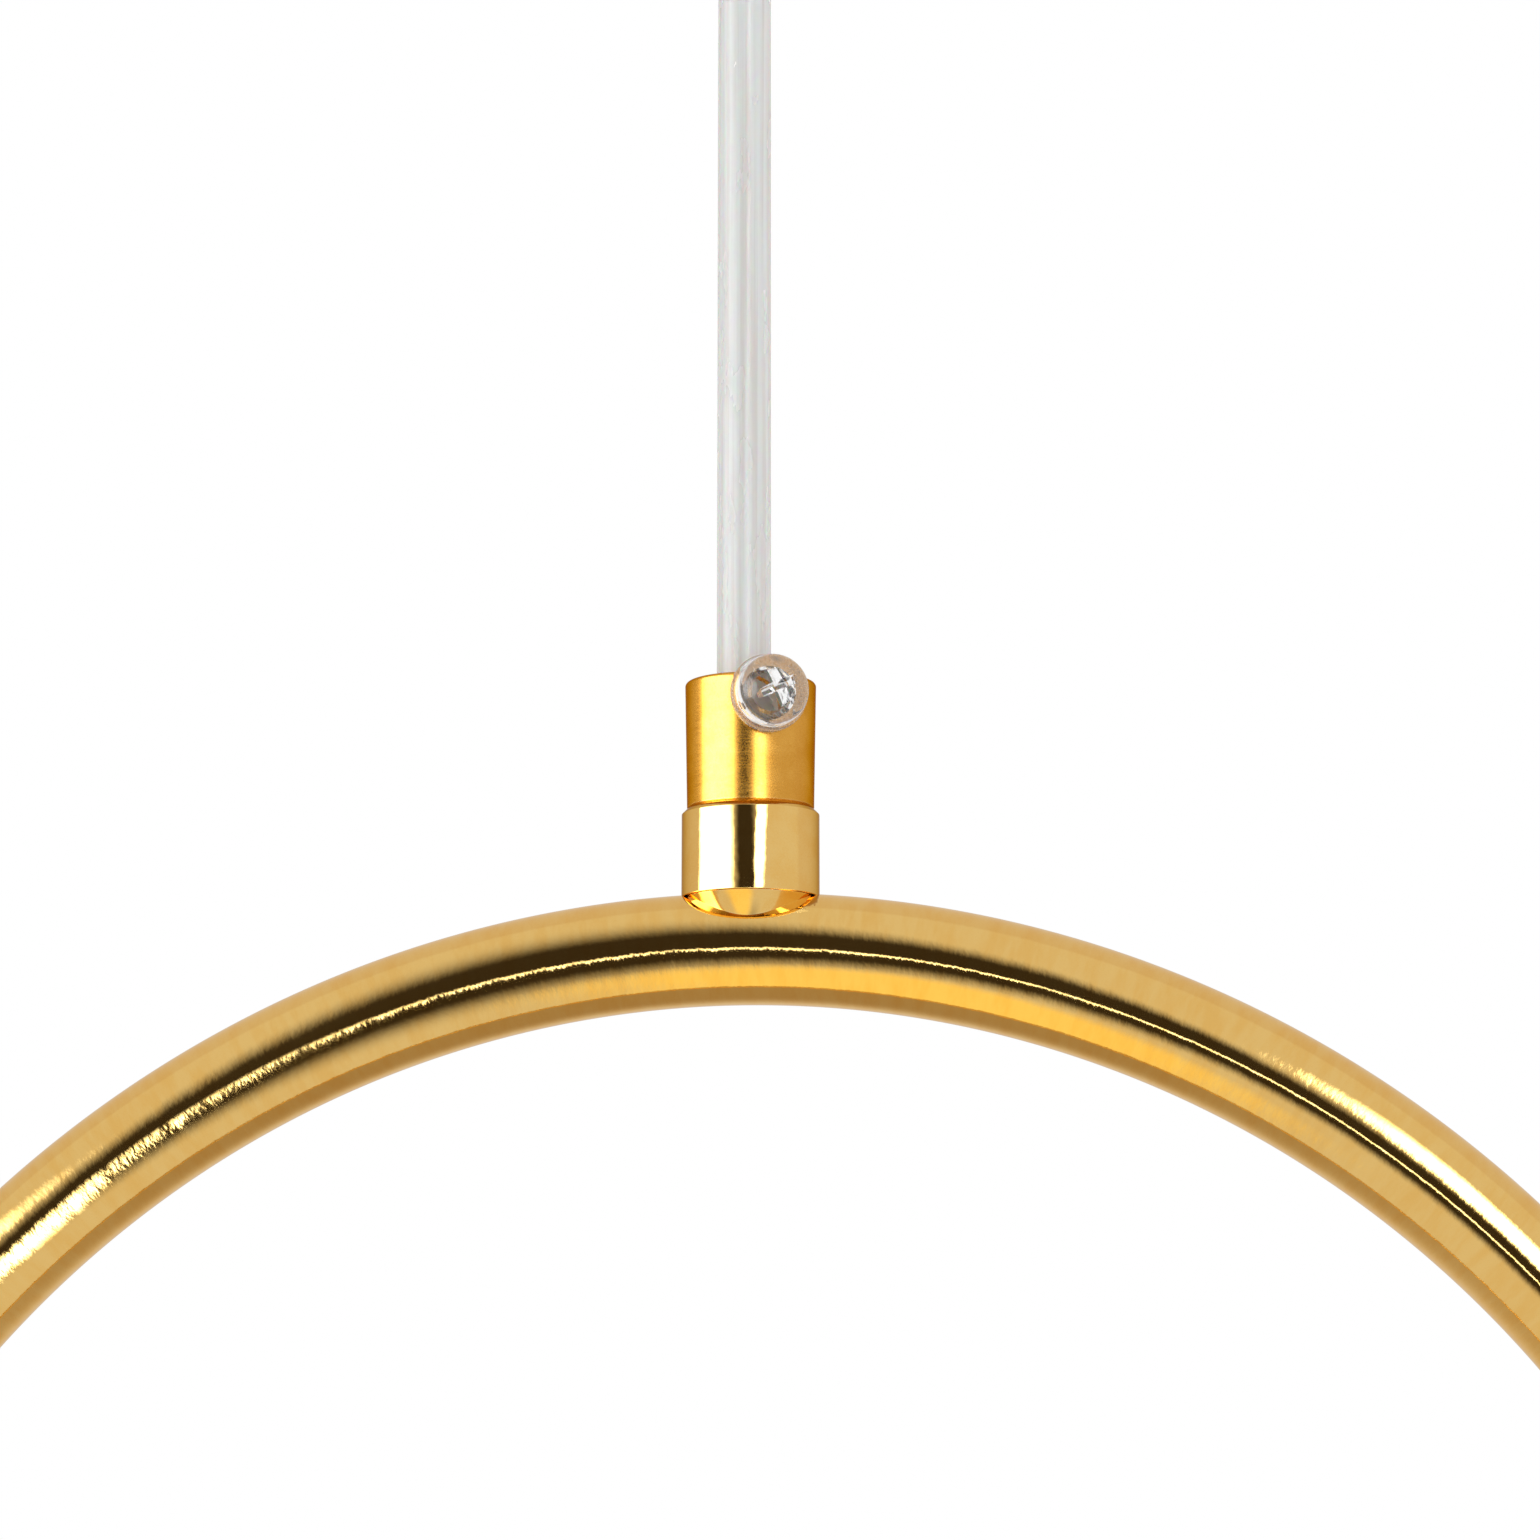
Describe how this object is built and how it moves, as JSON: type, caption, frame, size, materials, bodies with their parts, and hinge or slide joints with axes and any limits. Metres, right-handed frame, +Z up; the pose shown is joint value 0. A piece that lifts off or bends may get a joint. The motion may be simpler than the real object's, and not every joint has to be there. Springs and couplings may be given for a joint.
{
  "type": "hanging ring",
  "caption": "Gilt tubular hanging ring, used as a wreath frame or pendant ring, on a clear round cable with a brazed collar, threaded cord grip and clear plastic clamp screw.",
  "frame": {"origin": "centre of the ring, in the middle of its tube's depth", "axes": "+Z up along the cord grip and the cable, X across the ring, -Y the front, which the clamp screw faces; the ring lies in the XZ plane"},
  "size_m": [0.25, 0.0204, 0.4161],
  "materials": {
    "gilt_mirror": "polished gold plate",
    "gilt_satin": "satin gold plate",
    "raw_steel": "drawn",
    "zinc_steel": "bright zinc",
    "clear_plastic": "clear moulded",
    "frosted_plastic": "translucent moulded",
    "clear_jacket": "clear flexible",
    "clear_core": "translucent flexible",
    "tinned_copper": "tinned strands"
  },
  "bodies": {
    "cable": {"cable_jacket": "clear_jacket", "core_a": "clear_core", "core_b": "clear_core", "conductor_a": "tinned_copper", "conductor_b": "tinned_copper"},
    "grip": {"grip_body": "gilt_satin"},
    "nipple": {"nipple": "zinc_steel"},
    "ring": {"ring_tube": "gilt_mirror", "ring_sleeve": "raw_steel", "collar": "gilt_mirror", "collar_braze": "gilt_mirror"},
    "washer": {"clamp_washer": "frosted_plastic"},
    "screw": {"clamp_screw": "clear_plastic"}
  },
  "joints": [
    {"name": "height_slide", "type": "slide", "parent": "cable", "child": "grip", "axis": [0, 0, 1], "range_m": [-0.012, 0]},
    {"name": "ring_drop", "type": "slide", "parent": "grip", "child": "nipple", "axis": [0, 0, -1], "range_m": [0, 0.0015]},
    {"name": "ring_turn", "type": "hinge", "parent": "nipple", "child": "ring", "pos_m": [0, 0, 0.1346], "axis": [0, 0, -1], "range_deg": [0, 540]},
    {"name": "screw_travel", "type": "slide", "parent": "grip", "child": "washer", "axis": [0.309, -0.9511, 0], "range_m": [0, 0.0021]},
    {"name": "screw_turn", "type": "hinge", "parent": "washer", "child": "screw", "pos_m": [0, 0, 0.1465], "axis": [0.309, -0.9511, 0], "range_deg": [0, 1080]}
  ],
  "couplings": [
    {"joint": "ring_drop", "follows": "ring_turn", "m_per_rad": 0.00015915},
    {"joint": "screw_turn", "follows": "screw_travel", "rad_per_m": 8976}
  ]
}
